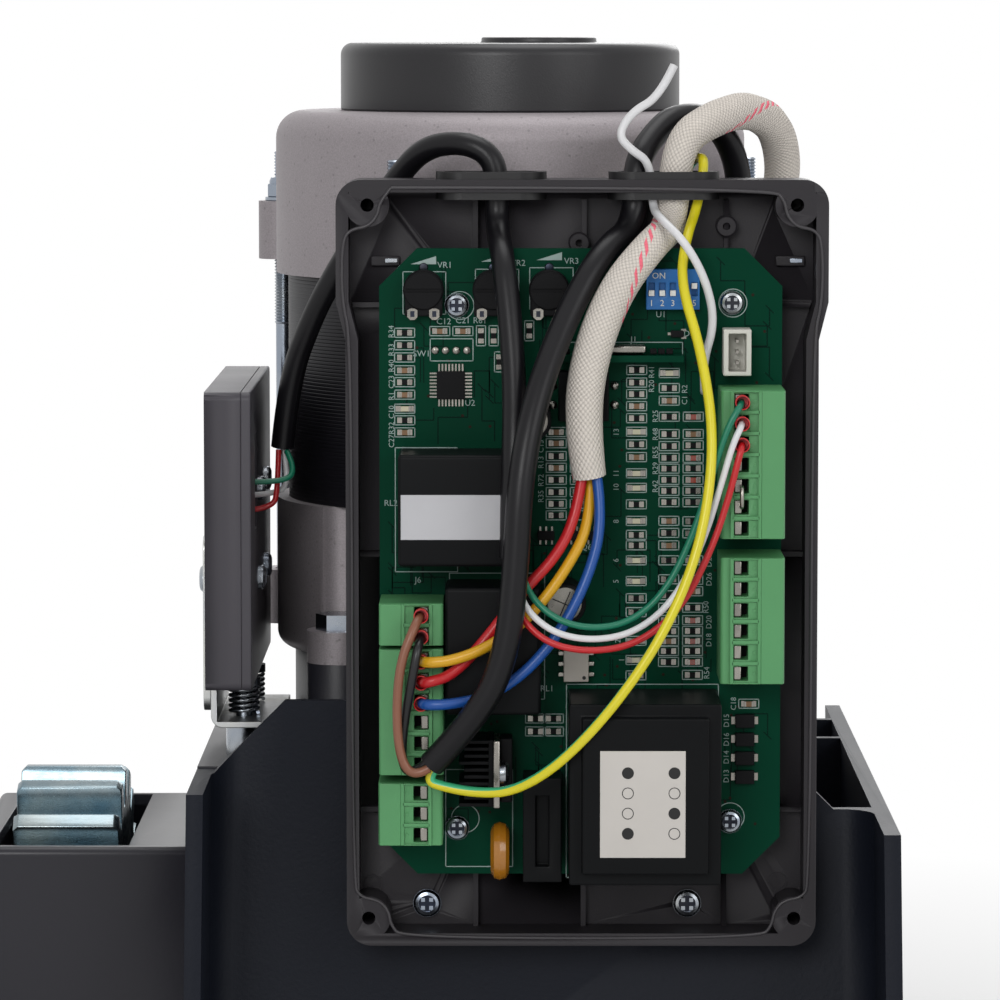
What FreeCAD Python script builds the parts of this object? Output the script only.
import FreeCAD, Part
import math
import os
from types import SimpleNamespace

import Sketcher
from FreeCAD import Placement, Rotation, Vector

# Sliding gate motor with its outer cover taken off.
# Frame: origin at the centre of the foundation bolt pattern on the underside of the base,
# +X away from the gate, +Y away from the control board, +Z up. Millimetres.

SIZES = {
    # Base housing
    "base_half_width": 84, "base_flare": 2, "base_half_depth": 115, "base_floor": 6, "base_wall": 4,
    "left_wall_top": 114, "right_wall_top": 110, "left_wing_top": 119.5,
    "front_wall_face": 75, "front_wall": 3, "front_panel_top": 136.5,
    "front_panel_left": 62.4, "front_panel_right": 44,
    "cross_wall_face": 49, "back_wall_inset": 30, "cross_wall": 3,
    "anchor_x": 60, "anchor_inset": 14, "anchor_hole": 5.5, "corner_radius": 8,
    # Gearbox case
    "fit_gap": 0.2, "case_right": 46, "deck_top": 120, "neck_radius": 55, "neck_top": 142,
    "motor_x": -8, "worm_bore": 17.5, "chamber_radius": 30, "chamber_left": 19,
    "cover_radius": 35, "cover_plate": 5, "cover_screw_circle": 31.8, "cover_head_flats": 5.5,
    "boss_radius": 26.5, "wall_hole": 27,
    # Output shaft and gears
    "output_y": -36, "output_z": 77, "shaft_radius": 10, "shaft_right": 17, "shaft_left": 129.5,
    "running_gap": 0.05, "bearing_outer": 23.5, "bearing_width": 14, "right_bearing_x": 4,
    "seal_width": 3.8, "shaft_clear": 1.5,
    "wheel_module": 2, "wheel_teeth": 26, "wheel_width": 16, "worm_pitch_radius": 10,
    "mesh_play": 0.3, "worm_half_length": 17,
    "pinion_module": 4, "pinion_teeth": 17, "pinion_left": 130, "pinion_width": 26,
    "pinion_chamfer": 1.2, "washer_radius": 17, "washer_thick": 2.4, "end_head_radius": 7, "end_head": 3,
    "key_width": 6, "key_height": 6,
    # Pinion guard
    "guard_left": 140, "guard_top": 101.5, "guard_bottom": 25, "guard_wall": 3, "guard_half_depth": 45,
    "slot_left": 133.5, "slot_right": 100.4, "guard_radius": 2,
    # Motor
    "rotor_shaft": 6, "small_bearing_outer": 16, "small_bearing_width": 10, "foot_bearing_z": 40,
    "bell_radius": 59.5, "bell_wall": 5.5, "bell_end": 6, "bell_shoulder": 7,
    "stator_bottom": 180, "stator_top": 237, "upper_bell_top": 278, "stator_radius": 56.5,
    "rotor_radius": 34, "air_gap": 0.8, "rotor_inset": 3, "winding_inner": 38, "winding_outer": 51,
    "winding_height": 16, "stud_circle": 65, "stud_radius": 2.5, "stud_turn": 65, "lug_radius": 6.5,
    "lug_root": 5.5,
    "upper_lug_bottom": 239, "upper_lug_top": 254, "lower_lug_bottom": 144, "lower_lug_top": 158,
    "stud_top": 267, "stud_depth": 12, "nut_flats": 8, "nut_height": 5, "stud_washer": 1,
    "flange_circle": 60, "flange_boss": 8, "flange_lug_height": 8, "flange_screw": 3,
    "flange_head_flats": 10, "flange_head": 4, "flange_screw_depth": 14,
    "cap_radius": 43, "cap_top": 295, "cap_wall": 2.5, "cap_edge": 3,
    "cap_disc_radius": 14.6, "cap_disc_offset": 7.3, "cap_disc_height": 1.4,
    # Limit switch
    "switch_left": 81.2, "switch_depth": 8.7, "switch_front": -84.5, "switch_length": 97,
    "switch_bottom": 140, "switch_height": 72, "switch_wall": 2, "switch_lid": 2.5, "lid_head_radius": 3,
    "lid_head": 2, "lid_screw_inset": 34, "lid_screw_low": 164, "lid_screw_high": 186,
    "plate_thick": 1.8, "plate_bottom": 132, "plate_top": 175, "bracket_front": -62, "bracket_length": 52,
    "bracket_thick": 1.5, "bracket_base": 128, "bracket_right": 64, "bracket_leg_top": 139.5,
    "plate_screw_z": 162, "plate_screw_head": 3.5, "plate_screw_proud": 2.4,
    "float_x": -73.7, "float_spacing": 26, "float_screw": 2, "float_head_radius": 4,
    "float_head": 2, "spring_radius": 3.4, "spring_wire": 0.5, "spring_height": 7.5, "spring_turns": 5,
    "spacer_radius": 4.5, "reed_board": 1.2, "reed_radius": 1.3, "reed_length": 16,
    # Control tray
    "tray_x": 9.2, "tray_half_width": 56.25, "tray_top_half": 58.5, "tray_bottom": 79.3,
    "tray_head_room": 16.4, "tray_step_low": 38, "tray_step_high": 29, "tray_depth": 16,
    "tray_floor": 2.5, "tray_wall": 3, "tray_radius": 6, "ear_x": 51, "ear_low": 86, "ear_inset": 6,
    "ear_radius": 5.2, "ear_hole": 1.6, "tray_rib": 1.2, "tray_rib_height": 3, "grommet_left": -12.4,
    "grommet_right": 28.7, "grommet_y": -84, "grommet_length": 24, "grommet_width": 10, "grommet_lip": 1.2,
    "grommet_lip_thick": 1.8, "grommet_skin": 0.8,
    "tray_screw_left": -28, "tray_screw_right": 35, "tray_screw_z": 87.5, "tray_screw_head": 3.4,
    "pan_head": 2.2, "tray_screw": 1.9,
    # Circuit board
    "board_left": -39.1, "board_width": 96, "board_bottom": 96.2, "board_height": 150.4, "board_thick": 1.6,
    "board_gap": 8, "board_chamfer": 9, "board_screw": 1.4, "board_head": 2.9, "standoff": 3.2,
    "terminal_pitch": 5, "terminal_deep": 15.2, "entry_left": 10, "entry_right": 4.9,
    "terminal_tall": 20, "wire_hole": 3.4, "hole_depth": 8,
    "clamp_wall": 0.5, "relay_tall": 20, "transformer_tall": 32, "transformer_step": 3,
    "fuse_tall": 14, "tab_tall": 18, "tab_thick": 1.5, "case_thick": 3, "case_tall": 11,
    "sink_depth": 8.2, "sink_tall": 16, "sink_plate": 1.2, "fin_pitch": 4.8,
    "varistor_radius": 7, "varistor_thick": 4.6,
    "capacitor_radius": 5, "capacitor_tall": 16, "receiver_tall": 9, "connector_tall": 9,
    "trimmer_radius": 4.35, "trimmer_base": 4.2, "trimmer_rotor": 1.2, "trimmer_slot": 0.9,
    "dip_pitch": 2.54, "dip_height": 3.6, "slider_width": 1.3, "slider_travel": 1.7, "slider_gap": 0.1,
    "slider_sink": 1.2, "slider_proud": 0.7, "button_body": 12, "button_tall": 4, "button_radius": 3.4,
    "button_proud": 3.5, "button_travel": 0.4,
    # Cables and their outlets
    "bush_x": 38, "bush_y": -62, "bush_radius": 6, "bush_height": 6,
    "lead_boss_y": -42, "lead_boss_z": 252, "lead_boss_radius": 6.5, "lead_boss_end": 54,
    "earth_boss_x": 38, "earth_boss_z": 248, "earth_boss_radius": 4, "earth_boss_end": 51, "outlet_root": 39,
    "mains_radius": 3.15, "limit_radius": 2.85, "sleeve_radius": 4, "motor_wire_radius": 1.3,
    "mains_wire_radius": 1.1, "earth_wire_radius": 1.2, "limit_wire_radius": 0.8, "tail_radius": 0.7,
    "antenna_radius": 1,
}

doc = FreeCAD.newDocument("gate_motor")
sheet = doc.addObject("Spreadsheet::Sheet", "Dims")


class Size:
    """A length with its present value and the sheet expression that gives it."""

    def __init__(self, text, value):
        self.text = text
        self.value = float(value)

    @staticmethod
    def of(other):
        return other if isinstance(other, Size) else Size(repr(float(other)), other)

    def join(self, sign, other, value):
        return Size("(%s %s %s)" % (self.text, sign, other.text), value)

    def __add__(self, other):
        other = Size.of(other)
        return self.join("+", other, self.value + other.value)

    def __sub__(self, other):
        other = Size.of(other)
        return self.join("-", other, self.value - other.value)

    def __mul__(self, other):
        other = Size.of(other)
        return self.join("*", other, self.value * other.value)

    def __truediv__(self, other):
        other = Size.of(other)
        return self.join("/", other, self.value / other.value)

    def __radd__(self, other):
        return Size.of(other) + self

    def __rsub__(self, other):
        return Size.of(other) - self

    def __rmul__(self, other):
        return Size.of(other) * self

    def __neg__(self):
        return Size.of(0) - self


for row, (word, number) in enumerate(SIZES.items(), start=1):
    sheet.set("A%d" % row, word)
    sheet.set("B%d" % row, str(number))
    sheet.setAlias("B%d" % row, word)
doc.recompute()
d = SimpleNamespace(**{word: Size("Dims." + word, sheet.get(word)) for word in SIZES})

NODES = []


def bind(item, path, size):
    """Bind one property of a document object to a size."""
    item.setExpression(path, Size.of(size).text)


def node(item, name, **place):
    """Name a finished sub-part and keep it for export."""
    item.Label = name
    for axis, size in place.items():
        bind(item, ".Placement.Base." + axis, size)
    NODES.append(item)
    return item


# Part primitives

TURNS = {"x": Rotation(Vector(0, 1, 0), 90), "y": Rotation(Vector(1, 0, 0), -90), "z": Rotation()}


def locate(item, x, y, z):
    for axis, size in zip("xyz", (x, y, z)):
        bind(item, ".Placement.Base." + axis, size)


def box(x, y, z, dx, dy, dz):
    """A box from its low corner and its three lengths."""
    item = doc.addObject("Part::Box", "Box")
    for path, size in (("Length", dx), ("Width", dy), ("Height", dz)):
        bind(item, path, size)
    locate(item, x, y, z)
    return item


def rod(axis, x, y, z, radius, length):
    """A cylinder along one axis, from the centre of its low end."""
    item = doc.addObject("Part::Cylinder", "Rod")
    bind(item, "Radius", radius)
    bind(item, "Height", length)
    item.Placement.Rotation = TURNS[axis]
    locate(item, x, y, z)
    return item


def hexagon(axis, x, y, z, flats, length):
    """A hexagonal prism along one axis, given across its flats."""
    item = doc.addObject("Part::Prism", "Hexagon")
    item.Polygon = 6
    bind(item, "Circumradius", Size.of(flats) / math.sqrt(3))
    bind(item, "Height", length)
    item.Placement.Rotation = TURNS[axis]
    locate(item, x, y, z)
    return item


def fuse(*items):
    item = doc.addObject("Part::MultiFuse", "Joined")
    item.Shapes = list(items)
    return item


def group(*items):
    """Separate solids kept side by side in one node."""
    item = doc.addObject("Part::Compound", "Group")
    item.Links = list(items)
    return item


def cut(base, *tools):
    item = doc.addObject("Part::Cut", "Trimmed")
    item.Base = base
    item.Tool = tools[0] if len(tools) == 1 else fuse(*tools)
    return item


def ring(axis, x, y, z, outer, inner, length):
    """A tube along one axis: an outer rod less an inner one that runs past both ends."""
    return cut(rod(axis, x, y, z, outer, length), rod(axis, x, y, z, inner, length))


def rounded(item, radius, keep):
    """Round the edges of a finished shape that the keep test picks."""
    doc.recompute()
    picked = [i for i, edge in enumerate(item.Shape.Edges, start=1) if keep(edge)]
    soft = doc.addObject("Part::Fillet", "Rounded")
    soft.Base = item
    soft.Edges = [(i, radius.value, radius.value) for i in picked]
    return soft


# PartDesign bodies

def body(name):
    return doc.addObject("PartDesign::Body", name)


def sketch(home, role, lift=0):
    """An empty sketch on one of the body's own origin planes, lifted along its normal."""
    item = home.newObject("Sketcher::SketchObject", "Sketch")
    plane = next(f for f in home.Origin.OriginFeatures if f.Role == role)
    item.AttachmentSupport = [(plane, "")]
    item.MapMode = "FlatFace"
    bind(item, ".AttachmentOffset.Base.z", lift)
    return item


def hold(item, kind, geometry, place, size):
    """Pin one coordinate of a sketch point to a size, measured from the sketch's origin."""
    index = item.addConstraint(Sketcher.Constraint(kind, -1, 1, geometry, place, Size.of(size).value))
    bind(item, "Constraints[%d]" % index, size)


def outline(item, points):
    """A closed outline of straight sides through the points."""
    ends = [Vector(Size.of(x).value, Size.of(y).value, 0) for x, y in points]
    first = item.GeometryCount
    count = len(ends)
    for i in range(count):
        item.addGeometry(Part.LineSegment(ends[i], ends[(i + 1) % count]), False)
    for i in range(count):
        item.addConstraint(Sketcher.Constraint("Coincident", first + i, 2, first + (i + 1) % count, 1))
    for i, (x, y) in enumerate(points):
        hold(item, "DistanceX", first + i, 1, x)
        hold(item, "DistanceY", first + i, 1, y)
    return item


def rectangle(item, left, low, right, high):
    return outline(item, [(left, low), (right, low), (right, high), (left, high)])


def circle(item, x, y, radius):
    centre = Vector(Size.of(x).value, Size.of(y).value, 0)
    index = item.addGeometry(Part.Circle(centre, Vector(0, 0, 1), Size.of(radius).value), False)
    hold(item, "DistanceX", index, 3, x)
    hold(item, "DistanceY", index, 3, y)
    bound = item.addConstraint(Sketcher.Constraint("Radius", index, Size.of(radius).value))
    bind(item, "Constraints[%d]" % bound, radius)
    return item


def pad(home, profile, length, both_ways=False):
    item = home.newObject("PartDesign::Pad", "Pad")
    item.Profile = profile
    bind(item, "Length", length)
    item.Midplane = both_ways
    return item


def pocket(home, profile, length, both_ways=False, upward=False):
    """Cut a sketch out of the body: against the sketch's normal, along it, or both ways."""
    item = home.newObject("PartDesign::Pocket", "Pocket")
    item.Profile = profile
    bind(item, "Length", length)
    item.Midplane = both_ways
    item.Reversed = upward
    return item


def spin(home, profile):
    """Turn a sketch on the XZ plane once round the body's Z axis."""
    item = home.newObject("PartDesign::Revolution", "Revolution")
    item.Profile = profile
    item.ReferenceAxis = (profile, ["V_Axis"])
    item.Angle = 360
    return item


def soften(home, radius, keep, kind="Fillet"):
    """Fillet or chamfer the body's present edges that the keep test picks."""
    doc.recompute()
    base = home.Tip
    names = ["Edge%d" % i for i, edge in enumerate(base.Shape.Edges, start=1) if keep(edge)]
    item = home.newObject("PartDesign::" + kind, kind)
    item.Base = (base, names)
    bind(item, "Radius" if kind == "Fillet" else "Size", radius)
    return item


def middle(edge):
    return edge.valueAt((edge.FirstParameter + edge.LastParameter) / 2)


def along(edge, axis):
    """Tell whether an edge is straight and runs along a direction."""
    straight = isinstance(edge.Curve, Part.Line)
    return straight and abs(edge.Curve.Direction.dot(axis)) > 0.999


def hoop(edge, radius, z):
    """Tell whether an edge is a circle of this radius at this height of its body."""
    curve = edge.Curve
    return isinstance(curve, Part.Circle) and abs(curve.Radius - radius.value) < 1e-6 \
        and abs(curve.Center.z - z.value) < 1e-6


def polar(radius, degrees):
    """A point on a circle round the body's axis, as two sizes."""
    angle = math.radians(degrees)
    return radius * math.cos(angle), radius * math.sin(angle)


UP = Vector(0, 0, 1)
STUD_ANGLES = [d.stud_turn.value + 90 * i for i in range(4)]
FLANGE_ANGLES = [45, 135, 225, 315]


# Base housing

def wall_line(z):
    """Half width of the base at a height of its flared left wall."""
    return d.base_half_width + d.base_flare * (1 - z / d.left_wing_top)


def base_housing():
    home = body("base_housing")
    foot = d.base_half_width + d.base_flare
    pad(home, rectangle(sketch(home, "XY_Plane"), -foot, -d.base_half_depth, foot, d.base_half_depth),
        d.base_floor)
    for side, top in ((-1, d.left_wing_top), (1, d.right_wall_top)):
        wall = sketch(home, "XZ_Plane")
        outline(wall, [(side * foot, 0), (side * d.base_half_width, top),
                       (side * (d.base_half_width - d.base_wall), top), (side * (foot - d.base_wall), 0)])
        pad(home, wall, d.base_half_depth * 2, both_ways=True)
    inner = d.base_half_width - d.base_wall / 2
    ledge = sketch(home, "XZ_Plane", d.front_wall_face - d.front_wall)
    rectangle(ledge, -foot, d.left_wall_top, -inner + d.base_wall, d.left_wing_top + 1)
    pocket(home, ledge, d.front_wall_face + d.base_half_depth)
    front = sketch(home, "XZ_Plane", d.front_wall_face - d.front_wall)
    slope_left = d.front_panel_top - d.left_wing_top
    slope_right = d.front_panel_top - d.right_wall_top
    outline(front, [(-inner, d.base_floor / 2), (-inner, d.left_wing_top),
                    (-d.front_panel_left - slope_left, d.left_wing_top),
                    (-d.front_panel_left, d.front_panel_top), (d.front_panel_right, d.front_panel_top),
                    (d.front_panel_right + slope_right, d.right_wall_top), (inner, d.right_wall_top),
                    (inner, d.base_floor / 2)])
    pad(home, front, d.front_wall)
    for face in (d.cross_wall_face, d.base_half_depth - d.back_wall_inset):
        wall = sketch(home, "XZ_Plane", -(face + d.cross_wall))
        rectangle(wall, -inner, d.base_floor / 2, inner, d.right_wall_top)
        pad(home, wall, d.cross_wall)
    hole = sketch(home, "YZ_Plane", -d.base_half_width)
    pocket(home, circle(hole, d.output_y, d.output_z, d.wall_hole), d.base_wall * 4, both_ways=True)
    anchors = sketch(home, "XY_Plane")
    for x in (-d.anchor_x, d.anchor_x):
        for side in (-1, 1):
            circle(anchors, x, side * (d.base_half_depth - d.anchor_inset), d.anchor_hole)
    pocket(home, anchors, d.base_floor * 4, both_ways=True)
    tray_holes = sketch(home, "XZ_Plane", d.front_wall_face)
    for x in (d.tray_screw_left, d.tray_screw_right):
        circle(tray_holes, x, d.tray_screw_z, d.tray_screw)
    pocket(home, tray_holes, d.front_wall * 2, both_ways=True)

    def inside_corner(edge):
        spot = middle(edge)
        upright = isinstance(edge.Curve, Part.Line) and abs(edge.Curve.Direction.z) > 0.99
        return upright and abs(spot.y + d.front_wall_face.value) < 0.01 \
            and abs(spot.x) < d.base_half_width.value - 1

    soften(home, d.corner_radius, inside_corner)
    return node(home, "base_housing")


# Gearbox case

CASE_LEFT = d.base_half_width - d.base_wall - d.fit_gap
CASE_FRONT = d.front_wall_face - d.front_wall - d.fit_gap
CASE_BACK = d.cross_wall_face - d.fit_gap
LEFT_BEARING = CASE_LEFT - d.bearing_width


def gearbox_case():
    home = body("gearbox_case")
    block = sketch(home, "XY_Plane", d.base_floor)
    pad(home, rectangle(block, -CASE_LEFT, -CASE_FRONT, d.case_right, CASE_BACK),
        d.left_wall_top - d.base_floor)
    deck = sketch(home, "XY_Plane", d.left_wall_top)
    pad(home, rectangle(deck, -d.base_half_width, -CASE_FRONT, d.case_right, CASE_BACK),
        d.deck_top - d.left_wall_top)
    neck = sketch(home, "XY_Plane", d.deck_top)
    pad(home, circle(neck, d.motor_x, 0, d.neck_radius), d.neck_top - d.deck_top)
    for angle in FLANGE_ANGLES:
        x, y = polar(d.flange_circle, angle)
        post = sketch(home, "XY_Plane", d.deck_top - d.flange_boss)
        pad(home, circle(post, d.motor_x + x, y, d.flange_boss), d.neck_top - d.deck_top + d.flange_boss)
    boss = sketch(home, "YZ_Plane", -d.base_half_width)
    pad(home, circle(boss, d.output_y, d.output_z, d.boss_radius), d.base_half_width - CASE_LEFT)
    bore = sketch(home, "XY_Plane", d.neck_top)
    pocket(home, circle(bore, d.motor_x, 0, d.worm_bore),
           d.neck_top - d.foot_bearing_z - d.small_bearing_width)
    seat = sketch(home, "XY_Plane", d.foot_bearing_z)
    pocket(home, circle(seat, d.motor_x, 0, d.small_bearing_outer), d.small_bearing_width, upward=True)
    chamber = sketch(home, "YZ_Plane", d.case_right)
    pocket(home, circle(chamber, d.output_y, d.output_z, d.chamber_radius), d.case_right + d.chamber_left)
    through = sketch(home, "YZ_Plane")
    pocket(home, circle(through, d.output_y, d.output_z, d.shaft_radius + d.shaft_clear), d.base_half_width)
    pit = sketch(home, "YZ_Plane", -d.base_half_width)
    pocket(home, circle(pit, d.output_y, d.output_z, d.bearing_outer), d.base_half_width - LEFT_BEARING,
           upward=True)
    screws = sketch(home, "XY_Plane", d.neck_top)
    for angle in FLANGE_ANGLES:
        x, y = polar(d.flange_circle, angle)
        circle(screws, d.motor_x + x, y, d.flange_screw + d.running_gap)
    pocket(home, screws, d.flange_screw_depth)
    return node(home, "gearbox_case")


def gearbox_cover():
    """Round side cover whose spigot closes the wheel chamber and carries the inner bearing."""
    home = body("gearbox_cover")
    plate = sketch(home, "YZ_Plane", d.case_right)
    pad(home, circle(plate, d.output_y, d.output_z, d.cover_radius), d.cover_plate)
    spigot = sketch(home, "YZ_Plane", d.right_bearing_x)
    pad(home, circle(spigot, d.output_y, d.output_z, d.chamber_radius - d.fit_gap),
        d.case_right - d.right_bearing_x)
    seat = sketch(home, "YZ_Plane", d.right_bearing_x)
    pocket(home, circle(seat, d.output_y, d.output_z, d.bearing_outer), d.bearing_width, upward=True)
    return node(home, "gearbox_cover")


def cover_screw_heads():
    heads = []
    for i in range(4):
        y, z = polar(d.cover_screw_circle, 45 + 90 * i)
        heads.append(hexagon("x", d.case_right + d.cover_plate, d.output_y + y, d.output_z + z,
                             d.cover_head_flats, d.flange_head))
    return heads


# Output shaft, its gears and bearings

WHEEL_LEFT = d.motor_x - d.wheel_width / 2
PINION_RIGHT = d.pinion_left - d.pinion_width


def keyway(left, length, play):
    """The seat of a parallel key on the top of the output shaft."""
    half = d.key_width / 2 + play
    return box(left, d.output_y - half, d.output_z + d.shaft_radius - d.key_height / 2 - play,
               length, half * 2, d.key_height + play * 2)


def output_shaft():
    bar = rod("x", -d.shaft_left, d.output_y, d.output_z, d.shaft_radius, d.shaft_left + d.shaft_right)
    seats = [keyway(-d.pinion_left + 3, d.pinion_width - 6, d.running_gap),
             keyway(WHEEL_LEFT + 2, d.wheel_width - 4, d.running_gap)]
    return node(cut(bar, *seats), "output_shaft")


def output_bearings():
    inner = d.shaft_radius + d.running_gap
    outer = d.bearing_outer - d.running_gap
    return [ring("x", left, d.output_y, d.output_z, outer, inner, d.bearing_width)
            for left in (-CASE_LEFT, d.right_bearing_x)]


def shaft_seal():
    return node(ring("x", -d.base_half_width, d.output_y, d.output_z,
                     d.bearing_outer - d.running_gap, d.shaft_radius + d.running_gap, d.seal_width),
                "shaft_seal")


def gap_profile(module, teeth, play):
    """Half of one tooth gap of a gear: distances from the axis and half widths there."""
    pitch = module * teeth / 2
    half = module * (math.pi / 4) + play
    lean = math.tan(math.radians(20))
    return [(pitch - module * 1.25, half - module * (1.25 * lean)),
            (pitch - module * 0.5, half - module * (0.45 * lean)),
            (pitch, half), (pitch + module * 0.5, half + module * (0.62 * lean)),
            (pitch + module * 1.3, half + module * (1.75 * lean))]


def pinion():
    home = body("pinion")
    tip = d.pinion_module * (d.pinion_teeth / 2 + 1)
    blank = sketch(home, "XY_Plane")
    circle(blank, 0, 0, tip)
    circle(blank, 0, 0, d.shaft_radius + d.running_gap)
    pad(home, blank, d.pinion_width)
    soften(home, d.pinion_chamfer, lambda edge: isinstance(edge.Curve, Part.Circle)
           and abs(edge.Curve.Radius - tip.value) < 1e-6, "Chamfer")
    gap = sketch(home, "XY_Plane")
    half = gap_profile(d.pinion_module, d.pinion_teeth, d.mesh_play / 2)
    outline(gap, [(r, w) for r, w in half] + [(r, -w) for r, w in reversed(half)])
    notch = pocket(home, gap, d.pinion_width * 3, both_ways=True)
    doc.recompute()
    teeth = home.newObject("PartDesign::PolarPattern", "Teeth")
    teeth.Originals = [notch]
    teeth.Axis = (gap, ["N_Axis"])
    teeth.Angle = 360
    bind(teeth, "Occurrences", d.pinion_teeth)
    home.Tip = teeth
    seat = sketch(home, "XY_Plane", 3)
    half_key = d.key_width / 2 + d.running_gap
    # The body is turned so that its X points down in the assembled frame.
    rectangle(seat, -(d.shaft_radius + d.key_height / 2 + d.running_gap), -half_key, 0, half_key)
    pocket(home, seat, d.pinion_width - 6, upward=True)
    home.Placement.Rotation = TURNS["x"]
    return node(home, "pinion", x=-d.pinion_left, y=d.output_y, z=d.output_z)


def worm_wheel():
    """Wheel whose tooth gaps lean by the worm's lead; each gap is a slanted prism."""
    module = d.wheel_module.value
    width = d.wheel_width.value
    tip = module * (d.wheel_teeth.value / 2 + 1)
    half = [(r.value, w.value) for r, w in gap_profile(d.wheel_module, d.wheel_teeth, d.mesh_play)]
    shift = width * module / (2 * d.worm_pitch_radius.value)
    blank = Part.makeCylinder(tip, width)
    flat = [Vector(r, w, 0) for r, w in half] + [Vector(r, -w, 0) for r, w in reversed(half)]
    face = Part.Face(Part.makePolygon([p + Vector(0, -shift / 2, 0) for p in flat + flat[:1]]))
    prism = face.extrude(Vector(0, shift, width))
    lead = math.pi * module
    # The worm's thread crosses the wheel's side three quarters of a turn after its start.
    crossing = (0.75 * lead - d.worm_half_length.value) % lead
    phase = 90 + math.degrees(crossing * 2 / (module * d.wheel_teeth.value))
    gaps = []
    for i in range(int(d.wheel_teeth.value)):
        copy = prism.copy()
        copy.rotate(Vector(), UP, phase + 360 / d.wheel_teeth.value * i)
        gaps.append(copy)
    solid = blank.cut(gaps).cut(Part.makeCylinder(d.shaft_radius.value + d.running_gap.value, width))
    reach = d.shaft_radius.value + d.key_height.value / 2 + d.running_gap.value
    side = d.key_width.value + d.running_gap.value * 2
    solid = solid.cut(Part.makeBox(reach, side, width - 4, Vector(-reach, -side / 2, 2)))
    item = doc.addObject("Part::Feature", "worm_wheel")
    item.Shape = solid
    item.Placement.Rotation = TURNS["x"]
    return node(item, "worm_wheel", x=WHEEL_LEFT, y=d.output_y, z=d.output_z)


def shaft_fittings():
    """Keys of the pinion and wheel, spacer washer, end washer and end screw."""
    spacer = ring("x", -PINION_RIGHT, d.output_y, d.output_z, d.washer_radius,
                  d.shaft_radius + d.running_gap, d.washer_thick)
    washer = rod("x", -d.pinion_left - d.washer_thick, d.output_y, d.output_z, d.washer_radius,
                 d.washer_thick)
    head = hexagon("x", -d.pinion_left - d.washer_thick - d.end_head, d.output_y, d.output_z,
                   d.end_head_radius * 2, d.end_head)
    keys = [keyway(-d.pinion_left + 3, d.pinion_width - 6, 0), keyway(WHEEL_LEFT + 2, d.wheel_width - 4, 0)]
    return node(group(spacer, washer, head, *keys), "shaft_fittings")


def pinion_guard():
    """Hollow guard over the pinion, open below and against the base wall, with the rack slot on top."""
    home = body("pinion_guard")
    top = wall_line(d.guard_top)
    low = wall_line(d.guard_bottom)
    solid = sketch(home, "XZ_Plane")
    outline(solid, [(-top, d.guard_top), (-d.guard_left, d.guard_top), (-d.guard_left, d.guard_bottom),
                    (-low, d.guard_bottom)])
    pad(home, solid, d.guard_half_depth * 2, both_ways=True)
    soften(home, d.guard_radius, lambda edge: along(edge, UP) and middle(edge).x < -top.value - 5
           or along(edge, Vector(0, 1, 0)) and middle(edge).z > d.guard_top.value - 1
           and middle(edge).x < -top.value - 5
           or along(edge, Vector(1, 0, 0)) and middle(edge).z > d.guard_top.value - 1)
    hollow = sketch(home, "XZ_Plane")
    rectangle(hollow, -d.guard_left + d.guard_wall, d.guard_bottom - 1, -d.base_half_width + 1,
              d.guard_top - d.guard_wall)
    pocket(home, hollow, (d.guard_half_depth - d.guard_wall) * 2, both_ways=True)
    slot = sketch(home, "XY_Plane", d.guard_top)
    reach = d.guard_half_depth - d.guard_wall - 0.5
    rectangle(slot, -d.slot_left, -reach, -d.slot_right, reach)
    pocket(home, slot, d.guard_wall * 4, both_ways=True)
    return node(home, "pinion_guard", y=d.output_y)


# Motor

def rotor_shaft():
    """Motor shaft with the worm thread cut on its lower end."""
    module = d.wheel_module.value
    pitch = d.worm_pitch_radius.value
    lead = math.pi * module
    half = d.worm_half_length.value
    middle_z = d.output_z.value
    low = d.foot_bearing_z.value
    high = d.upper_bell_top.value - d.bell_end.value - d.running_gap.value * 10
    core = pitch - module * 1.25
    bar = Part.makeCylinder(d.rotor_shaft.value, high - low, Vector(0, 0, low))
    root = Part.makeCylinder(core, half * 2 + 6, Vector(0, 0, middle_z - half - 3))
    lean = math.tan(math.radians(20))
    thick = lead / 4 - d.mesh_play.value
    sink = 0.6
    helix = Part.makeHelix(lead, half * 2, pitch)
    wide = thick + (pitch - core + sink) * lean
    tip = thick - module * lean
    start = [Vector(core - sink, 0, -wide), Vector(pitch + module, 0, -tip), Vector(pitch + module, 0, tip),
             Vector(core - sink, 0, wide)]
    profile = Part.makePolygon(start + start[:1])
    thread = Part.Wire(helix).makePipeShell([profile], True, True)
    thread.translate(Vector(0, 0, middle_z - half))
    item = doc.addObject("Part::Feature", "rotor_shaft")
    item.Shape = bar.fuse([root, thread]).removeSplitter()
    return node(item, "rotor_shaft", x=d.motor_x)


ROTOR_LOW = d.stator_bottom + d.rotor_inset
ROTOR_HIGH = d.stator_top - d.rotor_inset


def rotor_core():
    return node(ring("z", d.motor_x, 0, ROTOR_LOW, d.rotor_radius, d.rotor_shaft, ROTOR_HIGH - ROTOR_LOW),
                "rotor_core")


def bearings():
    """Ball bearings of the output shaft and of the motor shaft, as plain rings."""
    outer = d.small_bearing_outer - d.running_gap
    inner = d.rotor_shaft + d.running_gap
    levels = (d.foot_bearing_z, d.neck_top + d.bell_end,
              d.upper_bell_top - d.bell_end - d.small_bearing_width)
    small = [ring("z", d.motor_x, 0, z, outer, inner, d.small_bearing_width) for z in levels]
    return node(group(*small, *output_bearings()), "bearings")


def stator_core():
    return node(ring("z", d.motor_x, 0, d.stator_bottom, d.stator_radius, d.rotor_radius + d.air_gap,
                     d.stator_top - d.stator_bottom), "stator_core")


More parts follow.
